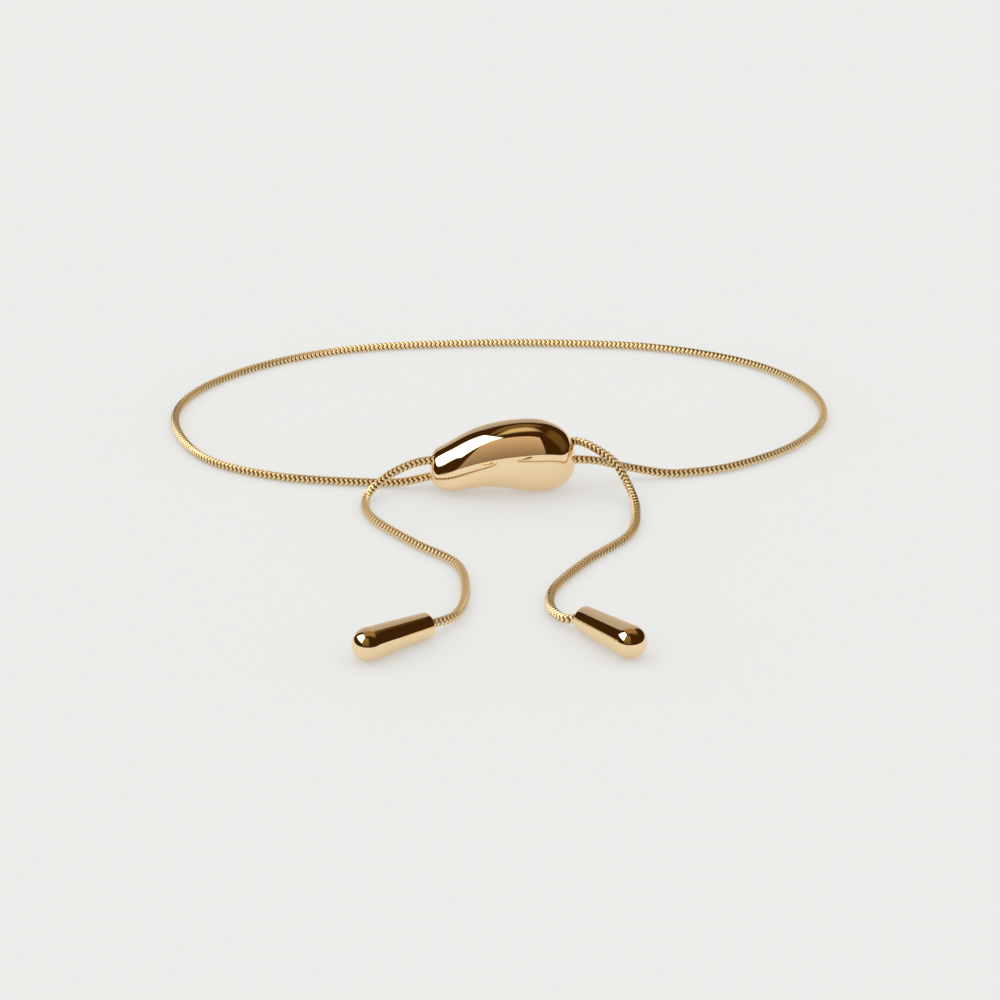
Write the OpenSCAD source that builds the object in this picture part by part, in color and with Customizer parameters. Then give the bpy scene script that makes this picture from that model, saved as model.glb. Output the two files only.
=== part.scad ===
// Bolo slider bracelet: one fine snake chain whose two ends pass through a bean-shaped slider
// in opposite directions and end in two polished drops. It lies on a table as it does when taken off.
// X runs along the slider, Y away from the wearer's view of it, and Z up. Lengths are in millimetres.

/* [Chain] */
// Outer diameter of the snake chain
chain_d = 0.9; // [0.7:0.05:1.1]

/* [Slider] */
// Length of the slider from end to end
slider_l = 14.2; // [12.5:0.1:16]
// Height of the slider from its feet to the top of its arch
slider_h = 7.5; // [6.9:0.1:9]
// Greatest thickness of the slider, front to back
slider_t = 5.2; // [4.8:0.1:6.5]
// How far the two ends curve back towards the wrist
slider_curve = 1; // [0.6:0.1:1.4]
// Radius of the rounded edge at the left end
left_round = 0.7; // [0.5:0.1:0.9]
// Radius of the rounded edge at the right end
right_round = 1.4; // [1.1:0.1:1.6]

/* [Drops] */
// Length of a drop from its flat mouth to the tip of its dome
drop_l = 8.2; // [6.5:0.1:11]
// Diameter of a drop's dome
dome_d = 3; // [2.8:0.1:4]
// Diameter of a drop at its flat mouth
mouth_d = 2.35; // [2:0.05:2.6]
// Width of the bevel round a drop's mouth
mouth_bevel = 0.1; // [0.05:0.01:0.2]
// Depth of the socket that holds the end of the chain
socket_l = 2.2; // [1.5:0.1:3.5]

/* [Fit] */
// Gap between the chain and the wall of a hole, all round
hole_gap = 0.05; // [0.03:0.01:0.1]
// Gap between the end of the chain and the bottom of its socket
socket_gap = 0.1; // [0.05:0.05:0.3]

/* [Hidden] */
$fn = 64;

hole_r = chain_d / 2 + hole_gap;

// Middle of the slider on the table
slider_x = 0.3;
slider_y = -1.6;

// Dome centres of the drops on the table, and the way that each points from mouth to dome
left_drop_at = [-11.3, -40.1];
left_drop_turn = 223;
right_drop_at = [11.2, -39.6];
right_drop_turn = -55;

// Sections of the slider at even steps from its left end to its right end.
// Bottom and top are shares of its height, thickness a share of its thickness, set-back a share
// of the curve of its ends, and widest the share of a section's height at which it is thickest.
BOTTOM = 0;
TOP = 1;
THICK = 2;
BACK = 3;
WIDEST = 4;
slider_sections = [
    [0.105, 0.505, 0.76, 0.95, 0.20],
    [0.005, 0.655, 0.86, 0.52, 0.25],
    [0.060, 0.815, 0.95, 0.22, 0.30],
    [0.090, 0.920, 0.99, 0.04, 0.35],
    [0.080, 0.975, 1.00, 0.00, 0.40],
    [0.030, 1.000, 1.00, 0.06, 0.45],
    [0.000, 0.985, 0.98, 0.24, 0.50],
    [0.035, 0.880, 0.91, 0.58, 0.55],
    [0.140, 0.675, 0.76, 1.00, 0.60]
];
section_sides = 28;
// Places of the sections, counted from an end, inside the rounded edge there
edge_steps = [0, 0.04, 0.15, 0.35, 0.65];
body_steps = 14;

// Mouths of the slider's two straight holes. Back is a share of the slider's thickness behind
// its middle, and height is a share of its height.
MOUTH_BACK = 0;
MOUTH_HEIGHT = 1;
low_left_mouth = [0.21, 0.155];
high_right_mouth = [0.402, 0.602];
mid_left_mouth = [0.02, 0.434];
mid_right_mouth = [0.077, 0.427];

// Route of the chain. Each point is its place on the table and how far the chain is lifted there.
chain_sides = 8;
chain_steps = 2;
left_tail_route = [
    [-8.7, -1.6, 2.4], [-11.2, -2.4, 1.3], [-13, -4.7, 0.1], [-12.2, -9.5, 0], [-8.1, -15.5, 0],
    [-4, -20.5, 0], [-3.1, -26.6, 0], [-3.9, -32.4, 0.3]
];
loop_route = [
    [9.7, -0.5, 2.3], [13.1, 1.4, 0.8], [17.6, 2, 0], [23.4, 4, 0], [29.9, 9.7, 0], [33.6, 17.6, 0],
    [32.7, 26.4, 0], [27.2, 34.2, 0], [17.6, 39.3, 0], [6.3, 40.9, 0], [-5.4, 40.7, 0],
    [-16.7, 38.8, 0], [-25.9, 33.6, 0], [-32.1, 25.7, 0], [-33.7, 16.7, 0], [-29.9, 6.5, 0],
    [-22.1, 1.3, 0], [-11.5, -0.5, 0]
];
right_tail_route = [
    [9, -0.9, 4], [11.2, -2.4, 2.9], [12.5, -3.8, 1], [13.1, -7.4, 0], [12.2, -13.5, 0],
    [8.1, -19.6, 0], [5, -25.7, 0], [4.5, -30.1, 0.1], [5.6, -33.1, 0.3]
];
// Straight stretch of chain just outside a drop's mouth
straight_lead = 0.25;

// A point on the smooth curve through four points, between the two in the middle
function curve_point(a, b, c, d, t) =
    0.5 * (2 * b + (c - a) * t + (2 * a - 5 * b + 4 * c - d) * t * t + (3 * b - a - 3 * c + d) * t * t * t);

// The value of a table's column at a share of the way through its evenly spaced rows
function table_value(rows, column, share) =
    let (last = len(rows) - 1, i = min(floor(share * last), last - 1))
    let (b = rows[i][column], c = rows[i + 1][column])
    let (a = i > 0 ? rows[i - 1][column] : 2 * b - c)
    let (d = i < last - 1 ? rows[i + 2][column] : 2 * c - b)
    curve_point(a, b, c, d, share * last - i);

function unit(v) = v / norm(v);

// Closed surface over a row of rings that have the same number of points
module skin(rings) {
    sides = len(rings[0]);
    last = len(rings) - 1;
    walls = [
        for (i = [0 : last - 1]) for (j = [0 : sides - 1]) let (k = (j + 1) % sides)
            each [
                [i * sides + j, (i + 1) * sides + k, (i + 1) * sides + j],
                [i * sides + j, i * sides + k, (i + 1) * sides + k]
            ]
    ];
    start_cap = [for (j = [sides - 1 : -1 : 0]) j];
    end_cap = [for (j = [0 : sides - 1]) last * sides + j];
    polyhedron(points = [for (ring = rings) each ring], faces = concat([start_cap], walls, [end_cap]));
}

// How far the surface is drawn in at a distance from an end with a rounded edge
function drawn_in(distance, round) =
    distance >= round ? 0 : round - sqrt(round * round - (round - distance) * (round - distance));

// Ring of points round the slider at a distance from its left end
function slider_ring(distance) =
    let (share = distance / slider_l)
    let (inset = drawn_in(distance, left_round) + drawn_in(slider_l - distance, right_round))
    let (bottom = slider_h * table_value(slider_sections, BOTTOM, share) + inset)
    let (top = slider_h * table_value(slider_sections, TOP, share) - inset)
    let (half_t = slider_t / 2 * table_value(slider_sections, THICK, share) - inset)
    let (middle_y = slider_y + slider_curve * table_value(slider_sections, BACK, share))
    let (widest_z = bottom + (top - bottom) * table_value(slider_sections, WIDEST, share))
    [
        for (j = [0 : section_sides - 1]) let (a = 360 * j / section_sides)
            [
                slider_x - slider_l / 2 + distance,
                middle_y - half_t * cos(a),
                widest_z + (a < 180 ? top - widest_z : widest_z - bottom) * sin(a)
            ]
    ];

function slider_distances() =
    let (body_l = slider_l - left_round - right_round)
    concat(
        [for (s = edge_steps) s * left_round],
        [for (i = [0 : body_steps]) left_round + body_l * i / body_steps],
        [for (i = [len(edge_steps) - 1 : -1 : 0]) slider_l - edge_steps[i] * right_round]
    );

// Middle of a hole's mouth at the slider's left (side -1) or right (side 1) end
function mouth_at(mouth, side) = [
    slider_x + side * slider_l / 2,
    slider_y + mouth[MOUTH_BACK] * slider_t,
    mouth[MOUTH_HEIGHT] * slider_h
];

low_left = mouth_at(low_left_mouth, -1);
high_right = mouth_at(high_right_mouth, 1);
mid_left = mouth_at(mid_left_mouth, -1);
mid_right = mouth_at(mid_right_mouth, 1);

// Straight round hole between two points, run on past both by a length
module hole(from, to, past) {
    way = to - from;
    translate(from)
        rotate([0, acos(way.z / norm(way)), atan2(way.y, way.x)])
            translate([0, 0, -past])
                cylinder(h = norm(way) + 2 * past, r = hole_r);
}

module slider() {
    color("goldenrod")
        difference() {
            skin([for (d = slider_distances()) slider_ring(d)]);
            hole(low_left, high_right, chain_d);
            hole(mid_left, mid_right, chain_d);
        }
}

// A drop lies on its side, so its axis tilts by the slope of its wall
dome_r = dome_d / 2;
mouth_r = mouth_d / 2;
dome_reach = drop_l - dome_r;
drop_tilt = asin(dome_r / norm([mouth_r, dome_reach])) - atan2(mouth_r, dome_reach);

function drop_axis(turn) = [cos(turn) * cos(drop_tilt), sin(turn) * cos(drop_tilt), sin(drop_tilt)];
function drop_mouth(at, turn) = [at.x, at.y, dome_r] - dome_reach * drop_axis(turn);

// A drop whose mouth is at the origin and whose dome points along X
module drop_form() {
    wall_end = dome_reach - dome_r * sin(drop_tilt);
    rotate([0, 90, 0])
        difference() {
            union() {
                cylinder(h = mouth_bevel, r1 = mouth_r - mouth_bevel, r2 = mouth_r);
                translate([0, 0, mouth_bevel])
                    cylinder(h = wall_end - mouth_bevel, r1 = mouth_r, r2 = dome_r * cos(drop_tilt));
                translate([0, 0, dome_reach]) sphere(r = dome_r);
            }
            translate([0, 0, -socket_gap]) cylinder(h = socket_l + socket_gap, r = hole_r);
        }
}

module lying_drop(at, turn) {
    color("goldenrod")
        translate(drop_mouth(at, turn)) rotate([0, -drop_tilt, turn]) drop_form();
}

module left_drop() {
    lying_drop(left_drop_at, left_drop_turn);
}

module right_drop() {
    lying_drop(right_drop_at, right_drop_turn);
}

// End of the chain in a drop's socket, and the point where its straight lead starts
function socket_end(at, turn) = drop_mouth(at, turn) + (socket_l - socket_gap) * drop_axis(turn);
function lead_start(at, turn) = drop_mouth(at, turn) - straight_lead * drop_axis(turn);

function raised(route) = [for (p = route) [p.x, p.y, chain_d / 2 + p.z]];

// Smooth run of points from one straight stretch to the next, kept on or above the table:
// the first and last points only give the direction there
function smooth_run(points) = [
    for (i = [1 : len(points) - 3]) for (k = [0 : chain_steps - 1])
        let (p = curve_point(points[i - 1], points[i], points[i + 1], points[i + 2], k / chain_steps))
            [p.x, p.y, max(p.z, chain_d / 2)]
];

function reversed(list) = [for (i = [len(list) - 1 : -1 : 0]) list[i]];

chain_path = concat(
    [socket_end(left_drop_at, left_drop_turn)],
    smooth_run(concat(
        [drop_mouth(left_drop_at, left_drop_turn), lead_start(left_drop_at, left_drop_turn)],
        reversed(raised(left_tail_route)),
        [mid_left, mid_left + unit(mid_right - mid_left)]
    )),
    [mid_left],
    smooth_run(concat(
        [mid_right - unit(mid_right - mid_left), mid_right],
        raised(loop_route),
        [low_left, low_left + unit(high_right - low_left)]
    )),
    [low_left],
    smooth_run(concat(
        [high_right - unit(high_right - low_left), high_right],
        raised(right_tail_route),
        [lead_start(right_drop_at, right_drop_turn), drop_mouth(right_drop_at, right_drop_turn)]
    )),
    [lead_start(right_drop_at, right_drop_turn), socket_end(right_drop_at, right_drop_turn)]
);

// The way that the chain runs at a point of its path
function way_at(i) =
    let (last = len(chain_path) - 1)
    let (arriving = unit(chain_path[max(i, 1)] - chain_path[max(i, 1) - 1]))
    let (leaving = unit(chain_path[min(i, last - 1) + 1] - chain_path[min(i, last - 1)]))
    unit(arriving + leaving);

// Ring of points round the chain, square to the way that it runs there
function chain_ring(i) =
    let (across = unit(cross(way_at(i), [0, 0, 1])))
    let (upward = cross(across, way_at(i)))
    [
        for (j = [0 : chain_sides - 1]) let (a = 360 * (j + 0.5) / chain_sides)
            chain_path[i] + chain_d / 2 * (cos(a) * across + sin(a) * upward)
    ];

module snake_chain() {
    color("gold") skin([for (i = [0 : len(chain_path) - 1]) chain_ring(i)]);
}

slider();
snake_chain();
left_drop();
right_drop();
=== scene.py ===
from math import asin, atan2, cos, hypot, pi, radians, sin, sqrt

import bmesh
import bpy
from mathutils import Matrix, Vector


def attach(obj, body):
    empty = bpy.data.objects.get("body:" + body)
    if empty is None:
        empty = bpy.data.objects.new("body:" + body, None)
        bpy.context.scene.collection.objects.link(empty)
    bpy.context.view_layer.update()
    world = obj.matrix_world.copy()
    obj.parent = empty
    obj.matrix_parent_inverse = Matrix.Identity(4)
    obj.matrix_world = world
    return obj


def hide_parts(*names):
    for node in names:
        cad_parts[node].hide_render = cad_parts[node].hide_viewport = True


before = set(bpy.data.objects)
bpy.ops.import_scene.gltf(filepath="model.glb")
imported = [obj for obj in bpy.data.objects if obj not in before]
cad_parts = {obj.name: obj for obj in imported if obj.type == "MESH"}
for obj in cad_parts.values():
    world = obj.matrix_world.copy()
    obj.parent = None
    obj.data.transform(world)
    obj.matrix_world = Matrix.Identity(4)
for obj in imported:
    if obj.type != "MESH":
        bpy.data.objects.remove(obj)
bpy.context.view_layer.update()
mm = 0.001
sameRing = 1e-7  # points closer than this, in metres, lie in one ring

# sizes that several pieces share, in millimetres, as each piece's own sizes are
chainDiameter = 0.9
holeGap = 0.05
holeRadius = chainDiameter / 2 + holeGap

# small helpers for working by hand in edit mode

def startFresh():
    if bpy.context.object and bpy.context.object.mode != "OBJECT":
        bpy.ops.object.mode_set(mode="OBJECT")
    bpy.ops.object.select_all(action="DESELECT")


def pick(piece, test):
    # selects the vertices that pass the test, with the edges and faces between them
    mesh = bmesh.from_edit_mesh(piece.data)
    for vert in mesh.verts:
        vert.select = False
    mesh.select_flush(False)
    for vert in mesh.verts:
        vert.select = bool(test(vert.co))
    mesh.select_flush(True)
    bmesh.update_edit_mesh(piece.data)


def applyModifiers(piece):
    bpy.context.view_layer.objects.active = piece
    for modifier in list(piece.modifiers):
        bpy.ops.object.modifier_apply(modifier=modifier.name)


def settle(piece, name):
    # names the piece and moves its place into its mesh
    startFresh()
    piece.select_set(True)
    bpy.context.view_layer.objects.active = piece
    bpy.ops.object.transform_apply(location=True, rotation=True, scale=True)
    piece.name = name
    piece.data.name = name


def startRing(sides, radius, place=(0, 0, 0), fill="NOTHING"):
    # a new circle round the X axis, open in edit mode with all of it selected
    startFresh()
    bpy.ops.mesh.primitive_circle_add(
        vertices=sides, radius=radius * mm, fill_type=fill, location=place, rotation=(0, pi / 2, 0))
    piece = bpy.context.object
    bpy.ops.object.transform_apply(location=True, rotation=True, scale=True)
    bpy.ops.object.mode_set(mode="EDIT")
    bpy.ops.mesh.select_mode(type="VERT")
    bpy.ops.mesh.select_all(action="SELECT")
    return piece


def closeEdit():
    # turns all faces outwards and leaves edit mode
    bpy.ops.mesh.select_all(action="SELECT")
    bpy.ops.mesh.normals_make_consistent(inside=False)
    bpy.ops.object.mode_set(mode="OBJECT")


def finishPiece(piece, name, metal, node, sharpAngle):
    # names and shades the piece, and puts it in the solid's place
    settle(piece, name)
    bpy.ops.object.shade_smooth_by_angle(angle=radians(sharpAngle))
    piece.data.materials.append(metal)
    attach(piece, "root")
    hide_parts(node)


def curvePoint(a, b, c, d, t):
    # the point at share t between b and c on the smooth curve through all four
    return 0.5 * (
        2 * b + (c - a) * t + (2 * a - 5 * b + 4 * c - d) * t ** 2 + (3 * b - a - 3 * c + d) * t ** 3)


def tableValue(rows, column, share):
    # reads a column smoothly, at a share of the way down its rows
    last = len(rows) - 1
    i = min(int(share * last), last - 1)
    b, c = rows[i][column], rows[i + 1][column]
    a = rows[i - 1][column] if i > 0 else 2 * b - c
    d = rows[i + 2][column] if i < last - 1 else 2 * c - b
    return curvePoint(a, b, c, d, share * last - i)


# camera, floor and studio

viewShape = {
    "place": (0, -0.2741, 0.11106),  # metres
    "downTilt": 22.34,  # degrees below level
    "lens": 108,
    "sensor": 36,
    "clipStart": 0.01,
}


def makeCamera():
    startFresh()
    bpy.ops.object.camera_add(
        location=viewShape["place"], rotation=(radians(90 - viewShape["downTilt"]), 0, 0))
    camera = bpy.context.object
    camera.data.lens = viewShape["lens"]
    camera.data.sensor_width = viewShape["sensor"]
    camera.data.clip_start = viewShape["clipStart"]
    bpy.context.scene.camera = camera


studio = {
    "floorColour": (0.84, 0.84, 0.824),
    "floorSize": 6,  # metres, as the cards' distance is
    "floorRoughness": 0.9,
    "floorGlow": 0.42,  # share of the floor's light that no shadow takes away
    "fill": 1.0,
    "fillColour": (1, 1, 0.995),
    "darkRoom": (0.046, 0.02, 0.004),
    "cardDistance": 1.5,
}

# what the metals mirror: which pieces see a card, its corners (foot left and right, top left and
# right) as azimuth, 0 towards the camera and positive to the right, and elevation in degrees, its
# colour, its brightness at the foot and at the top, and its soft edge as a share of its size
cards = {
    "backSweep": {
        "seenBy": "slider drops chain", "corners": ((148, -1), (228, -1), (148, 54), (228, 56)),
        "colour": (1, 0.97, 0.93), "levels": (0.6, 0.32), "soft": 0.06},
    "sliderSoftbox": {
        "seenBy": "slider", "corners": ((-100, 22), (-55, 17), (-76, 59), (-15, 50)),
        "colour": (1, 1, 1), "levels": (3, 3), "soft": 0.04},
    "sliderPanel": {
        "seenBy": "slider", "corners": ((-47, 0), (31, 0), (-36, 43), (38, 42)),
        "colour": (1, 0.78, 0.55), "levels": (0.23, 0.67), "soft": 0.02},
    "sliderGlow": {
        "seenBy": "slider", "corners": ((-35, 50), (72, 46), (-60, 80), (105, 76)),
        "colour": (1, 0.82, 0.46), "levels": (0.72, 0.58), "soft": 0.35},
    "sliderCeiling": {
        "seenBy": "slider", "corners": ((-50, 54), (110, 48), (-145, 72), (165, 66)),
        "colour": (1, 0.68, 0.28), "levels": (0.14, 0.14), "soft": 0.2},
    "sliderRight": {
        "seenBy": "slider", "corners": ((60, 3), (118, 2), (52, 50), (125, 48)),
        "colour": (1, 0.62, 0.2), "levels": (0.07, 0.1), "soft": 0.25},
    "dropSoftbox": {
        "seenBy": "drops", "corners": ((-113, 23), (-45, 21), (-105, 60), (-43, 61)),
        "colour": (1, 1, 1), "levels": (3, 3), "soft": 0.04},
    "dropFront": {
        "seenBy": "drops", "corners": ((-44, 3), (10, 3), (-44, 62), (10, 62)),
        "colour": (1, 0.66, 0.2), "levels": (0.1, 0.3), "soft": 0.2},
    "dropCeiling": {
        "seenBy": "drops", "corners": ((-60, 52), (75, 40), (-125, 50), (150, 36)),
        "colour": (1, 0.7, 0.26), "levels": (0.28, 0.28), "soft": 0.25},
    "chainSoftbox": {
        "seenBy": "chain", "corners": ((-125, 15), (-38, 12), (-120, 66), (-36, 66)),
        "colour": (1, 0.97, 0.92), "levels": (2.1, 2.1), "soft": 0.2},
    "chainPanel": {
        "seenBy": "chain", "corners": ((-56, 0), (45, 0), (-50, 50), (45, 50)),
        "colour": (1, 0.9, 0.74), "levels": (0.65, 0.9), "soft": 0.1},
    "chainRight": {
        "seenBy": "chain", "corners": ((45, 5), (145, 5), (45, 60), (145, 60)),
        "colour": (1, 0.86, 0.66), "levels": (0.42, 0.55), "soft": 0.2},
    "chainCeiling": {
        "seenBy": "chain", "corners": ((-60, 45), (60, 45), (-140, 45), (140, 45)),
        "colour": (1, 0.9, 0.74), "levels": (0.66, 0.66), "soft": 0.2},
}


def softEdge(nodes, links, coordinate, soft):
    # rises from 0 at both edges of a card to 1 inside
    edge = nodes.new("ShaderNodeMath")
    edge.operation = "PINGPONG"
    edge.inputs[1].default_value = 0.5
    rise = nodes.new("ShaderNodeMapRange")
    rise.interpolation_type = "SMOOTHSTEP"
    rise.inputs["From Max"].default_value = soft
    links.new(coordinate, edge.inputs[0])
    links.new(edge.outputs[0], rise.inputs["Value"])
    return rise.outputs["Result"]


def product(nodes, links, first, second):
    times = nodes.new("ShaderNodeMath")
    times.operation = "MULTIPLY"
    links.new(first, times.inputs[0])
    links.new(second, times.inputs[1])
    return times.outputs[0]


def cardMaterial(name, card):
    # adds the card's light to what lies behind it
    material = bpy.data.materials.new(name)
    material.use_nodes = True
    nodes, links = material.node_tree.nodes, material.node_tree.links
    nodes.clear()
    coordinates = nodes.new("ShaderNodeTexCoord")
    split = nodes.new("ShaderNodeSeparateXYZ")
    links.new(coordinates.outputs["UV"], split.inputs[0])
    level = nodes.new("ShaderNodeMapRange")
    level.inputs["To Min"].default_value, level.inputs["To Max"].default_value = card["levels"]
    links.new(split.outputs["Y"], level.inputs["Value"])
    across = softEdge(nodes, links, split.outputs["X"], card["soft"])
    upward = softEdge(nodes, links, split.outputs["Y"], card["soft"])
    shape = product(nodes, links, across, upward)
    emission = nodes.new("ShaderNodeEmission")
    emission.inputs["Color"].default_value = (*card["colour"], 1)
    links.new(product(nodes, links, level.outputs["Result"], shape), emission.inputs["Strength"])
    clear = nodes.new("ShaderNodeBsdfTransparent")
    both = nodes.new("ShaderNodeAddShader")
    output = nodes.new("ShaderNodeOutputMaterial")
    links.new(emission.outputs[0], both.inputs[0])
    links.new(clear.outputs[0], both.inputs[1])
    links.new(both.outputs[0], output.inputs["Surface"])
    return material


def outward(azimuth, elevation):
    a, e = radians(azimuth), radians(elevation)
    return Vector((sin(a) * cos(e), -cos(a) * cos(e), sin(e)))


def makeCard(name, card, receivers):
    # a glowing card that only the pieces it is meant for can mirror
    startFresh()
    bpy.ops.mesh.primitive_plane_add(size=1)
    plane = bpy.context.object
    for vert, corner in zip(plane.data.vertices, card["corners"]):
        vert.co = outward(*corner) * studio["cardDistance"]
    plane.name = name
    plane.data.materials.append(cardMaterial(name, card))
    plane.visible_camera = False
    plane.visible_diffuse = False
    plane.visible_shadow = False
    plane.visible_transmission = False
    group = bpy.data.collections.new(name + "Receivers")
    for word in card["seenBy"].split():
        for piece in receivers[word]:
            group.objects.link(piece)
    plane.light_linking.receiver_collection = group


def makeFloor():
    startFresh()
    bpy.ops.mesh.primitive_plane_add(size=studio["floorSize"])
    floor = bpy.context.object
    floor.name = "floor"
    material = bpy.data.materials.new("floor")
    material.use_nodes = True
    shader = material.node_tree.nodes["Principled BSDF"]
    shader.inputs["Base Color"].default_value = (*studio["floorColour"], 1)
    shader.inputs["Roughness"].default_value = studio["floorRoughness"]
    shader.inputs["Specular IOR Level"].default_value = 0
    nodes, links = material.node_tree.nodes, material.node_tree.links
    glow = nodes.new("ShaderNodeEmission")
    glow.inputs["Color"].default_value = (*studio["floorColour"], 1)
    mix = nodes.new("ShaderNodeMixShader")
    mix.inputs[0].default_value = studio["floorGlow"]
    links.new(shader.outputs[0], mix.inputs[1])
    links.new(glow.outputs[0], mix.inputs[2])
    links.new(mix.outputs[0], nodes["Material Output"].inputs["Surface"])
    floor.data.materials.append(material)


def makeWorld():
    # an even white dome lights the floor, while polished metal mirrors a dark room
    world = bpy.data.worlds.new("studio")
    world.use_nodes = True
    bpy.context.scene.world = world
    nodes, links = world.node_tree.nodes, world.node_tree.links
    nodes.clear()
    path = nodes.new("ShaderNodeLightPath")
    dome = nodes.new("ShaderNodeBackground")
    dome.inputs["Color"].default_value = (*studio["fillColour"], 1)
    dome.inputs["Strength"].default_value = studio["fill"]
    room = nodes.new("ShaderNodeBackground")
    room.inputs["Color"].default_value = (*studio["darkRoom"], 1)
    backdrop = nodes.new("ShaderNodeBackground")
    backdrop.inputs["Color"].default_value = (*studio["floorColour"], 1)
    glossyMix = nodes.new("ShaderNodeMixShader")
    cameraMix = nodes.new("ShaderNodeMixShader")
    output = nodes.new("ShaderNodeOutputWorld")
    links.new(path.outputs["Is Glossy Ray"], glossyMix.inputs[0])
    links.new(dome.outputs[0], glossyMix.inputs[1])
    links.new(room.outputs[0], glossyMix.inputs[2])
    links.new(path.outputs["Is Camera Ray"], cameraMix.inputs[0])
    links.new(glossyMix.outputs[0], cameraMix.inputs[1])
    links.new(backdrop.outputs[0], cameraMix.inputs[2])
    links.new(cameraMix.outputs[0], output.inputs["Surface"])


def makeStudio():
    bpy.context.scene.view_settings.view_transform = "Standard"
    makeCamera()
    makeFloor()
    makeWorld()


makeStudio()
print("studio is set")


# metals

goldFinish = {
    "polished": {
        "colour": (1.0, 0.77, 0.475), "roughness": (0.02, 0.05), "scratchScale": 900, "bump": 0.004},
    "chain": {
        "colour": (1.0, 0.77, 0.44), "roughness": (0.12, 0.22), "scratchScale": 2500, "bump": 0.05},
}
goldGrain = {
    "cloudSize": 4,  # how much larger the clouds are than the scratches
    "cloudDetail": 3,
    "scratchDetail": 5,
    "dullTone": 0.97,
    "toneSpan": (0.3, 0.7),
    "scratchDepth": 0.05,
}
# painted shade in the links' grooves: its dark colour, and the share of their depth at which it starts
grooveShade = {"colour": (0.08, 0.03, 0.005), "start": 0.12}


def goldMaterial(name, finish):
    material = bpy.data.materials.new(name)
    material.use_nodes = True
    nodes, links = material.node_tree.nodes, material.node_tree.links
    shader = nodes["Principled BSDF"]
    shader.inputs["Metallic"].default_value = 1
    coordinates = nodes.new("ShaderNodeTexCoord")
    cloud = nodes.new("ShaderNodeTexNoise")
    cloud.inputs["Scale"].default_value = finish["scratchScale"] / goldGrain["cloudSize"]
    cloud.inputs["Detail"].default_value = goldGrain["cloudDetail"]
    scratches = nodes.new("ShaderNodeTexNoise")
    scratches.inputs["Scale"].default_value = finish["scratchScale"]
    scratches.inputs["Detail"].default_value = goldGrain["scratchDetail"]
    gloss = nodes.new("ShaderNodeMapRange")
    gloss.inputs["To Min"].default_value, gloss.inputs["To Max"].default_value = finish["roughness"]
    tone = nodes.new("ShaderNodeValToRGB")
    colour = Vector(finish["colour"])
    dull, bright = tone.color_ramp.elements
    dull.position, bright.position = goldGrain["toneSpan"]
    dull.color = (*(colour * goldGrain["dullTone"]), 1)
    bright.color = (*colour, 1)
    bump = nodes.new("ShaderNodeBump")
    bump.inputs["Strength"].default_value = finish["bump"]
    bump.inputs["Distance"].default_value = goldGrain["scratchDepth"] * mm
    for texture in (cloud, scratches):
        links.new(coordinates.outputs["Object"], texture.inputs["Vector"])
    links.new(cloud.outputs["Fac"], gloss.inputs["Value"])
    links.new(gloss.outputs["Result"], shader.inputs["Roughness"])
    links.new(cloud.outputs["Fac"], tone.inputs["Fac"])
    links.new(tone.outputs["Color"], shader.inputs["Base Color"])
    links.new(scratches.outputs["Fac"], bump.inputs["Height"])
    links.new(bump.outputs["Normal"], shader.inputs["Normal"])
    return material


def paintGrooveShade(material):
    # paints shade into the chain's base colour towards the links' grooves; the links' groove shade
    # attribute is 0 on their crowns and 1 at their edges
    nodes, links = material.node_tree.nodes, material.node_tree.links
    shader = nodes["Principled BSDF"]
    depth = nodes.new("ShaderNodeAttribute")
    depth.attribute_name = "grooveShade"
    share = nodes.new("ShaderNodeMapRange")
    share.inputs["From Min"].default_value = grooveShade["start"]
    mix = nodes.new("ShaderNodeMix")
    mix.data_type = "RGBA"
    mix.inputs["B"].default_value = (*grooveShade["colour"], 1)
    links.new(depth.outputs["Fac"], share.inputs["Value"])
    links.new(share.outputs["Result"], mix.inputs["Factor"])
    links.new(shader.inputs["Base Color"].links[0].from_socket, mix.inputs["A"])
    links.new(mix.outputs["Result"], shader.inputs["Base Color"])


polishedGold = goldMaterial("polishedGold", goldFinish["polished"])
chainGold = goldMaterial("chainGold", goldFinish["chain"])
# the chain's grooves get painted shade
paintGrooveShade(chainGold)
print("metals are ready")


# slider

sliderShape = {
    "length": 14.2,
    "height": 7.5,
    "thickness": 5.2,
    "endCurve": 1.0,
    "leftRound": 0.7,
    "rightRound": 1.4,
    "middle": (0.3, -1.6),
    # from left to right: bottom and top as shares of the height, share of the thickness, share of
    # the end curve by which it is set back, and how far up the section it is thickest
    "sections": (
        (0.105, 0.505, 0.76, 0.95, 0.20),
        (0.005, 0.655, 0.86, 0.52, 0.25),
        (0.060, 0.815, 0.95, 0.22, 0.30),
        (0.090, 0.920, 0.99, 0.04, 0.35),
        (0.080, 0.975, 1.00, 0.00, 0.40),
        (0.030, 1.000, 1.00, 0.06, 0.45),
        (0.000, 0.985, 0.98, 0.24, 0.50),
        (0.035, 0.880, 0.91, 0.58, 0.55),
        (0.140, 0.675, 0.76, 1.00, 0.60),
    ),
    # mouths of the two holes: share of the thickness behind the middle, and of the height
    "lowLeft": (0.21, 0.155),
    "highRight": (0.402, 0.602),
    "midLeft": (0.02, 0.434),
    "midRight": (0.077, 0.427),
    "cageSides": 24,
    "cageRings": 15,
    "roundSteps": (0, 0.04, 0.16, 0.38, 0.68),  # rings at a rounded end, as shares of its radius
    "endRim": 0.12,
    "holeSides": 48,
    "smoothLevels": 3,
    "sharpAngle": 40,
}
bottomShare, topShare, thickShare, backShare, widestShare = range(5)


def mouthAt(mouth, side):
    back, height = sliderShape[mouth]
    x, y = sliderShape["middle"]
    return Vector((
        x + side * sliderShape["length"] / 2,
        y + back * sliderShape["thickness"],
        height * sliderShape["height"],
    ))


# each hole's left and right mouth
holes = {
    "low": (mouthAt("lowLeft", -1), mouthAt("highRight", 1)),
    "mid": (mouthAt("midLeft", -1), mouthAt("midRight", 1)),
}


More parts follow.
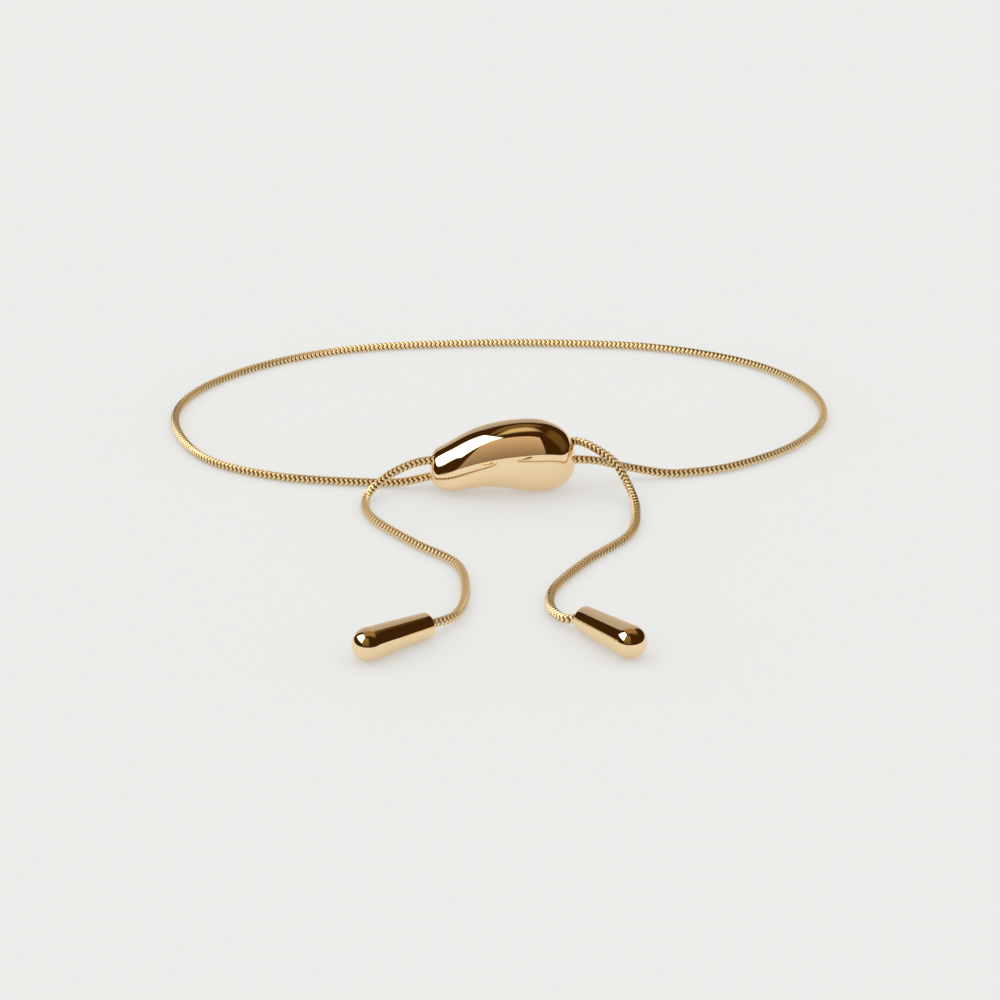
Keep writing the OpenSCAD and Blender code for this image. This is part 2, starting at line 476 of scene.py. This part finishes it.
def drawnIn(distance, rounding):
    # how far a rounded end draws its surface in, at a distance from that end
    return 0 if distance >= rounding else rounding - sqrt(rounding ** 2 - (rounding - distance) ** 2)


def sliderRing(distance):
    # place and size of a ring of the slider: x, y, widest height, half thickness, reach up and down
    shape = sliderShape
    share = distance / shape["length"]
    inset = drawnIn(distance, shape["leftRound"]) + drawnIn(shape["length"] - distance, shape["rightRound"])
    bottom = shape["height"] * tableValue(shape["sections"], bottomShare, share) + inset
    top = shape["height"] * tableValue(shape["sections"], topShare, share) - inset
    halfThick = shape["thickness"] / 2 * tableValue(shape["sections"], thickShare, share) - inset
    y = shape["middle"][1] + shape["endCurve"] * tableValue(shape["sections"], backShare, share)
    widest = bottom + (top - bottom) * tableValue(shape["sections"], widestShare, share)
    x = shape["middle"][0] - shape["length"] / 2 + distance
    return x, y, widest, halfThick, top - widest, widest - bottom


def sliderDistances():
    length, left, right = sliderShape["length"], sliderShape["leftRound"], sliderShape["rightRound"]
    steps, rings = sliderShape["roundSteps"], sliderShape["cageRings"]
    body = [left + (length - left - right) * i / rings for i in range(rings + 1)]
    return [s * left for s in steps] + body + [length - s * right for s in reversed(steps)]


def shapeRing(piece, ring, before):
    # gives the selected ring, which still has the size of the one before it, its own egg-shaped section
    x, y, widest, halfThick, up, down = ring
    thickBefore, upBefore, downBefore = before[3:]
    centre = (x * mm, y * mm, widest * mm)
    bpy.ops.transform.resize(value=(1, halfThick / thickBefore, 1), center_override=centre)
    pick(piece, lambda co: abs(co.x - x * mm) < sameRing and co.z > widest * mm + sameRing)
    bpy.ops.transform.resize(value=(1, 1, up / upBefore), center_override=centre)
    pick(piece, lambda co: abs(co.x - x * mm) < sameRing and co.z < widest * mm - sameRing)
    bpy.ops.transform.resize(value=(1, 1, down / downBefore), center_override=centre)
    pick(piece, lambda co: abs(co.x - x * mm) < sameRing)


def drill(piece, start, end):
    # cuts a straight round hole between two mouths with a boolean modifier
    way = end - start
    startFresh()
    bpy.ops.mesh.primitive_cylinder_add(
        vertices=sliderShape["holeSides"], radius=holeRadius * mm,
        depth=(way.length + 2 * chainDiameter) * mm,
        location=(start + end) / 2 * mm, rotation=way.to_track_quat("Z", "Y").to_euler())
    cutter = bpy.context.object
    modifier = piece.modifiers.new("hole", "BOOLEAN")
    modifier.operation = "DIFFERENCE"
    modifier.object = cutter
    applyModifiers(piece)
    bpy.data.objects.remove(cutter)


def makeSlider():
    sides = sliderShape["cageSides"]
    grow = 6 / (4 + 2 * cos(2 * pi / sides))  # the smoothed surface lies inside its cage
    rings = []
    for distance in sliderDistances():
        x, y, widest, halfThick, up, down = sliderRing(distance)
        rings.append((x, y, widest, halfThick * grow, up * grow, down * grow))
    piece = startRing(sides, 1, Vector(rings[0][:3]) * mm, "NGON")
    unitRing = (*rings[0][:3], 1, 1, 1)
    shapeRing(piece, rings[0], unitRing)
    for before, ring in zip(rings, rings[1:]):
        step = (Vector(ring[:3]) - Vector(before[:3])) * mm
        bpy.ops.mesh.extrude_region_move(TRANSFORM_OT_translate={"value": step})
        shapeRing(piece, ring, before)
    for ring in (rings[0], rings[-1]):  # a rim inside each flat end keeps it flat
        pick(piece, lambda co: abs(co.x - ring[0] * mm) < sameRing)
        bpy.ops.mesh.inset(thickness=sliderShape["endRim"] * mm)
    closeEdit()
    smooth = piece.modifiers.new("smooth", "SUBSURF")
    smooth.levels = smooth.render_levels = sliderShape["smoothLevels"]
    applyModifiers(piece)
    for start, end in holes.values():
        drill(piece, start, end)
    finishPiece(piece, "sliderBody", polishedGold, "slider", sliderShape["sharpAngle"])
    return piece


slider = makeSlider()
print("slider is made")


# drops

dropShape = {
    "length": 8.2,
    "domeDiameter": 3.0,
    "mouthDiameter": 2.35,
    "mouthBevel": 0.1,
    "bevelSteps": 4,
    "socketDepth": 2.2,
    "socketGap": 0.1,
    "sides": 96,
    "wallRings": 12,
    "domeRings": 24,
    "sharpAngle": 40,
}
# where the middle of each dome stands, and the degrees by which its axis is turned from X
dropPlaces = {
    "left_drop": {"dome": (-11.3, -40.1), "turn": 223},
    "right_drop": {"dome": (11.2, -39.6), "turn": -55},
}

domeRadius = dropShape["domeDiameter"] / 2
mouthRadius = dropShape["mouthDiameter"] / 2
domeReach = dropShape["length"] - domeRadius
# the slope at which the mouth's rim and the dome both rest on the table
dropTilt = asin(domeRadius / hypot(mouthRadius, domeReach)) - atan2(mouthRadius, domeReach)


def dropAxis(place):
    turn = radians(place["turn"])
    return Vector((cos(turn) * cos(dropTilt), sin(turn) * cos(dropTilt), sin(dropTilt)))


def dropMouth(place):
    return Vector((*place["dome"], domeRadius)) - domeReach * dropAxis(place)


def dropProfile():
    # rings from the bottom of the socket out over the mouth, along the wall and round the dome
    bevel, steps = dropShape["mouthBevel"], dropShape["bevelSteps"]
    rings = [(dropShape["socketDepth"], holeRadius), (bevel, holeRadius), (0.0, holeRadius + bevel / 2)]
    for i in range(steps + 1):
        a = pi / 2 * i / steps
        rings.append((bevel * (1 - cos(a)), mouthRadius - bevel * (1 - sin(a))))
    wallEnd = domeReach - domeRadius * sin(dropTilt)
    wallRadius = domeRadius * cos(dropTilt)
    for i in range(1, dropShape["wallRings"]):
        share = i / dropShape["wallRings"]
        rings.append((bevel + (wallEnd - bevel) * share, mouthRadius + (wallRadius - mouthRadius) * share))
    for i in range(dropShape["domeRings"]):
        a = -dropTilt + (pi / 2 + dropTilt) * i / dropShape["domeRings"]
        rings.append((domeReach + domeRadius * sin(a), domeRadius * cos(a)))
    return rings


def makeDrop(node, place):
    # modelled along X with its mouth at 0, then laid with its wall and dome on the table
    rings = dropProfile()
    piece = startRing(dropShape["sides"], rings[0][1], (rings[0][0] * mm, 0, 0), "NGON")
    for before, ring in zip(rings, rings[1:]):
        step = ((ring[0] - before[0]) * mm, 0, 0)
        ratio = ring[1] / before[1]
        bpy.ops.mesh.extrude_region_move(TRANSFORM_OT_translate={"value": step})
        bpy.ops.transform.resize(value=(1, ratio, ratio), center_override=(ring[0] * mm, 0, 0))
    tipStep = ((dropShape["length"] - rings[-1][0]) * mm, 0, 0)
    bpy.ops.mesh.extrude_region_move(TRANSFORM_OT_translate={"value": tipStep})
    bpy.ops.mesh.merge(type="CENTER")
    closeEdit()
    piece.rotation_euler = (0, -dropTilt, radians(place["turn"]))
    piece.location = dropMouth(place) * mm
    name = node.replace("_d", "D")
    finishPiece(piece, name, polishedGold, node, dropShape["sharpAngle"])
    return piece


drops = [makeDrop(node, place) for node, place in dropPlaces.items()]
print("drops are made")


# snake chain

chainShape = {
    "pitch": 0.49,
    "gap": 0.01,
    # how far along the half link its shoulder is, and how far below the crown
    "shoulder": (0.55, 0.05),
    "grooveDepth": 0.2,
    "waveHeight": 0.12,
    "sides": 8,
    "straightLead": 0.25,
    "curveSteps": 10,
    "sharpAngle": 60,
    # place on the table and how far the chain is lifted there, from the slider outwards
    "leftTail": (
        (-8.7, -1.6, 2.4), (-11.2, -2.4, 1.3), (-13, -4.7, 0.1), (-12.2, -9.5, 0),
        (-8.1, -15.5, 0), (-4, -20.5, 0), (-3.1, -26.6, 0), (-3.9, -32.4, 0.3),
    ),
    "loop": (
        (9.7, -0.5, 2.3), (13.1, 1.4, 0.8), (17.6, 2, 0), (23.4, 4, 0), (29.9, 9.7, 0),
        (33.6, 17.6, 0), (32.7, 26.4, 0), (27.2, 34.2, 0), (17.6, 39.3, 0), (6.3, 40.9, 0),
        (-5.4, 40.7, 0), (-16.7, 38.8, 0), (-25.9, 33.6, 0), (-32.1, 25.7, 0), (-33.7, 16.7, 0),
        (-29.9, 6.5, 0), (-22.1, 1.3, 0), (-11.5, -0.5, 0),
    ),
    "rightTail": (
        (9, -0.9, 4), (11.2, -2.4, 2.9), (12.5, -3.8, 1), (13.1, -7.4, 0), (12.2, -13.5, 0),
        (8.1, -19.6, 0), (5, -25.7, 0), (4.5, -30.1, 0.1), (5.6, -33.1, 0.3),
    ),
}


def raised(route):
    return [Vector((x, y, chainDiameter / 2 + lift)) for x, y, lift in route]


def smoothRun(points):
    # smooth run through all points but the first and last, kept on or above the table
    run, steps = [], chainShape["curveSteps"]
    for a, b, c, d in zip(points, points[1:], points[2:], points[3:]):
        for k in range(steps):
            p = curvePoint(a, b, c, d, k / steps)
            p.z = max(p.z, chainDiameter / 2)
            run.append(p)
    return run


def socketEnd(place):
    return dropMouth(place) + (dropShape["socketDepth"] - dropShape["socketGap"]) * dropAxis(place)


def leadStart(place):
    return dropMouth(place) - chainShape["straightLead"] * dropAxis(place)


def chainPath():
    left, right = dropPlaces["left_drop"], dropPlaces["right_drop"]
    lowLeft, highRight = holes["low"]
    midLeft, midRight = holes["mid"]
    midWay = (midRight - midLeft).normalized()
    lowWay = (highRight - lowLeft).normalized()
    leftTail = [
        dropMouth(left), leadStart(left), *reversed(raised(chainShape["leftTail"])),
        midLeft, midLeft + midWay,
    ]
    loop = [midRight - midWay, midRight, *raised(chainShape["loop"]), lowLeft, lowLeft + lowWay]
    rightTail = [
        highRight - lowWay, highRight, *raised(chainShape["rightTail"]),
        leadStart(right), dropMouth(right),
    ]
    return [
        socketEnd(left), *smoothRun(leftTail), midLeft, *smoothRun(loop), lowLeft,
        *smoothRun(rightTail), leadStart(right), socketEnd(right),
    ]


def makePathCurve(points):
    data = bpy.data.curves.new("chainWay", "CURVE")
    data.dimensions = "3D"
    data.twist_mode = "Z_UP"
    spline = data.splines.new("POLY")
    spline.points.add(len(points) - 1)
    for point, place in zip(spline.points, points):
        point.co = (*(place * mm), 1)
    curve = bpy.data.objects.new("chainWay", data)
    bpy.context.scene.collection.objects.link(curve)
    return curve


def makeLink(pitch):
    # one zigzag ring round the X axis, from its crown over two shoulders to two deep edges
    reach = (pitch - chainShape["gap"]) / 2
    waves = chainShape["sides"] // 2
    link = startRing(chainShape["sides"], chainDiameter / 2)
    for side in (1, -1):
        pick(link, lambda co: abs(co.x) < sameRing)
        place, radius = 0, 1
        for share, drop in (chainShape["shoulder"], (1, chainShape["grooveDepth"])):
            step = side * (share - place) * reach * mm
            deeper = (1 - drop / (chainDiameter / 2)) / radius
            bpy.ops.mesh.extrude_region_move(TRANSFORM_OT_translate={"value": (step, 0, 0)})
            bpy.ops.transform.resize(value=(1, deeper, deeper), center_override=(0, 0, 0))
            place, radius = share, radius * deeper
    pick(link, lambda co: abs(abs(co.x) - reach * mm) < sameRing)
    bpy.ops.mesh.bridge_edge_loops()
    for side in (1, -1):  # every other corner is moved forward, and the rest back
        pick(link, lambda co: side * cos(waves * atan2(co.z, co.y)) > 0.5)
        bpy.ops.transform.translate(value=(side * chainShape["waveHeight"] * mm, 0, 0))
    closeEdit()
    # each point's depth in its groove, 0 on the crown and 1 at the deep edges, masks the chain's painted
    # shade
    depth = link.data.attributes.new("grooveShade", "FLOAT", "POINT")
    for vert, level in zip(link.data.vertices, depth.data):
        level.value = (chainDiameter / 2 - hypot(vert.co.y, vert.co.z) / mm) / chainShape["grooveDepth"]
    return link


def makeChain():
    points = chainPath()
    length = sum((b - a).length for a, b in zip(points, points[1:]))
    count = round(length / chainShape["pitch"])
    pitch = length / count
    link = makeLink(pitch)
    link.location = (pitch / 2 * mm, 0, 0)
    settle(link, "link")
    repeat = link.modifiers.new("repeat", "ARRAY")
    repeat.use_relative_offset = False
    repeat.use_constant_offset = True
    repeat.constant_offset_displace = (pitch * mm, 0, 0)
    repeat.count = count
    way = makePathCurve(points)
    along = link.modifiers.new("along", "CURVE")
    along.object = way
    along.deform_axis = "POS_X"
    applyModifiers(link)
    bpy.data.objects.remove(way)
    finishPiece(link, "snakeChain", chainGold, "snake_chain", chainShape["sharpAngle"])
    print("chain has", count, "links over", round(length, 1), "mm")
    return link


chain = makeChain()

# the cards come last, because each names the pieces that mirror it
receivers = {"slider": [slider], "drops": drops, "chain": [chain]}
for name, card in cards.items():
    makeCard(name, card, receivers)
startFresh()
print("cards are hung")

print("pieces are finished")
